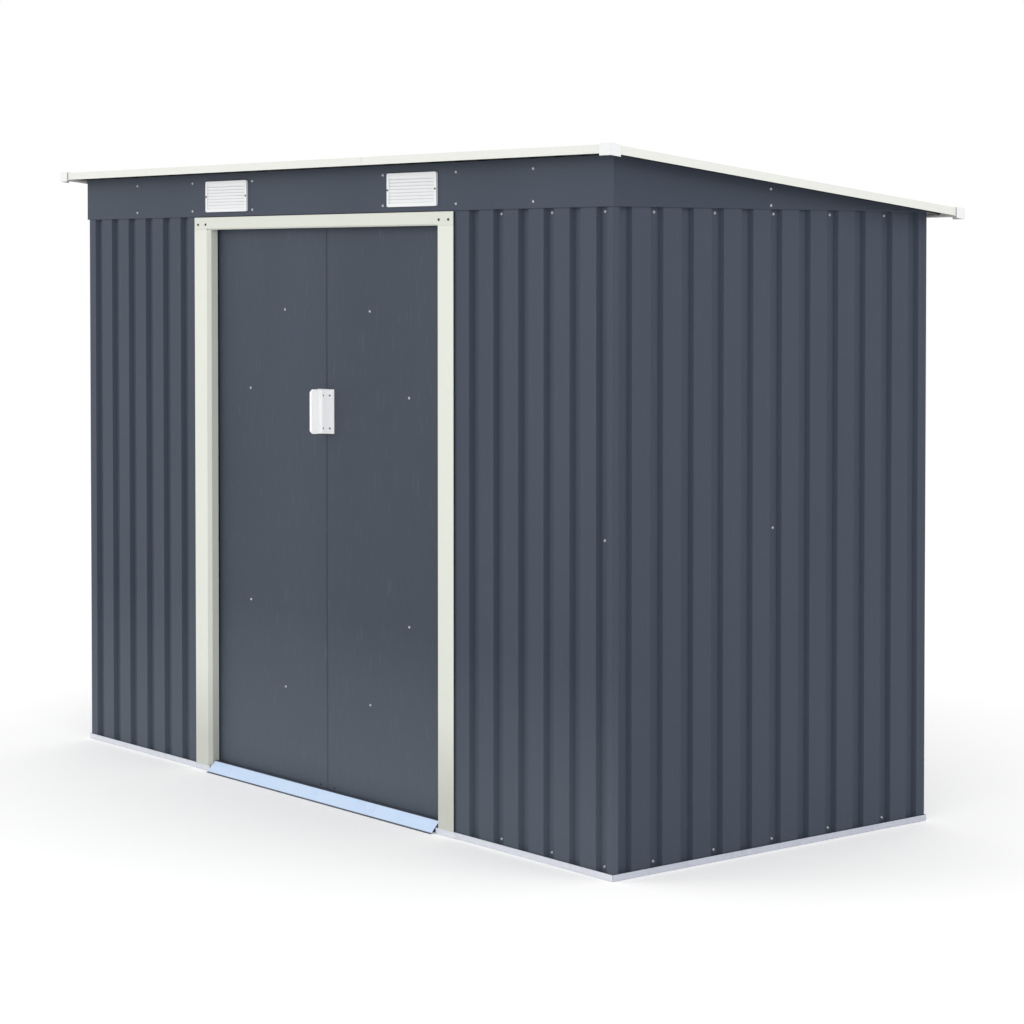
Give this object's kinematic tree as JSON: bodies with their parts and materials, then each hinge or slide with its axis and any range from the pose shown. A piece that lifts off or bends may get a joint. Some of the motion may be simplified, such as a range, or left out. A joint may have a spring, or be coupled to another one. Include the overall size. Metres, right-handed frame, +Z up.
{
  "type": "metal storage shed",
  "caption": "Pent-roof storage shed of corrugated painted steel with a cream frame, front vents and a pair of doors that slide apart behind the front walls.",
  "frame": {"origin": "on the ground, at the middle of the roof's outline seen from above", "axes": "+X along the front to the right seen from outside, +Y to the back, +Z up"},
  "size_m": [2.5606, 1.2276, 1.7407],
  "materials": {
    "grey_steel": "satin",
    "door_steel": "satin, faint upright grain",
    "cream_steel": "satin",
    "galvanised": "satin, zinc coated",
    "white_plastic": "satin"
  },
  "bodies": {
    "shed": {"base_rail_front": "galvanised", "base_rail_left": "galvanised", "base_rail_rear": "galvanised", "base_rail_right": "galvanised", "corner_posts": "galvanised", "door_header": "cream_steel", "door_jamb_left": "cream_steel", "door_jamb_right": "cream_steel", "door_track_bottom": "galvanised", "door_track_top": "galvanised", "fascia_front": "grey_steel", "fascia_left": "grey_steel", "fascia_right": "grey_steel", "front_beam": "galvanised", "front_wall_left": "grey_steel", "front_wall_right": "grey_steel", "mid_braces": "galvanised", "rear_wall_left": "grey_steel", "rear_wall_right": "grey_steel", "roof_beam": "galvanised", "roof_corner_caps": "white_plastic", "roof_sheet_inner_left": "grey_steel", "roof_sheet_inner_right": "grey_steel", "roof_sheet_outer_left": "grey_steel", "roof_sheet_outer_right": "grey_steel", "roof_trim_front": "cream_steel", "roof_trim_left": "cream_steel", "roof_trim_rear": "cream_steel", "roof_trim_right": "cream_steel", "side_wall_left": "grey_steel", "side_wall_right": "grey_steel", "threshold_ramp": "galvanised", "top_rail_left": "galvanised", "top_rail_rear": "galvanised", "top_rail_right": "galvanised", "vent_left": "white_plastic", "vent_right": "white_plastic"},
    "left_door": {"door_handle_left": "white_plastic", "door_left": "door_steel", "door_sliders_left": "white_plastic", "door_stiffeners_left": "galvanised"},
    "right_door": {"door_handle_right": "white_plastic", "door_right": "door_steel", "door_sliders_right": "white_plastic", "door_stiffeners_right": "galvanised"}
  },
  "joints": [
    {"name": "door_left_slide", "type": "slide", "parent": "shed", "child": "left_door", "axis": [-1, 0, 0], "range_m": [0, 0.48]},
    {"name": "door_right_slide", "type": "slide", "parent": "shed", "child": "right_door", "axis": [1, 0, 0], "range_m": [0, 0.48]}
  ]
}
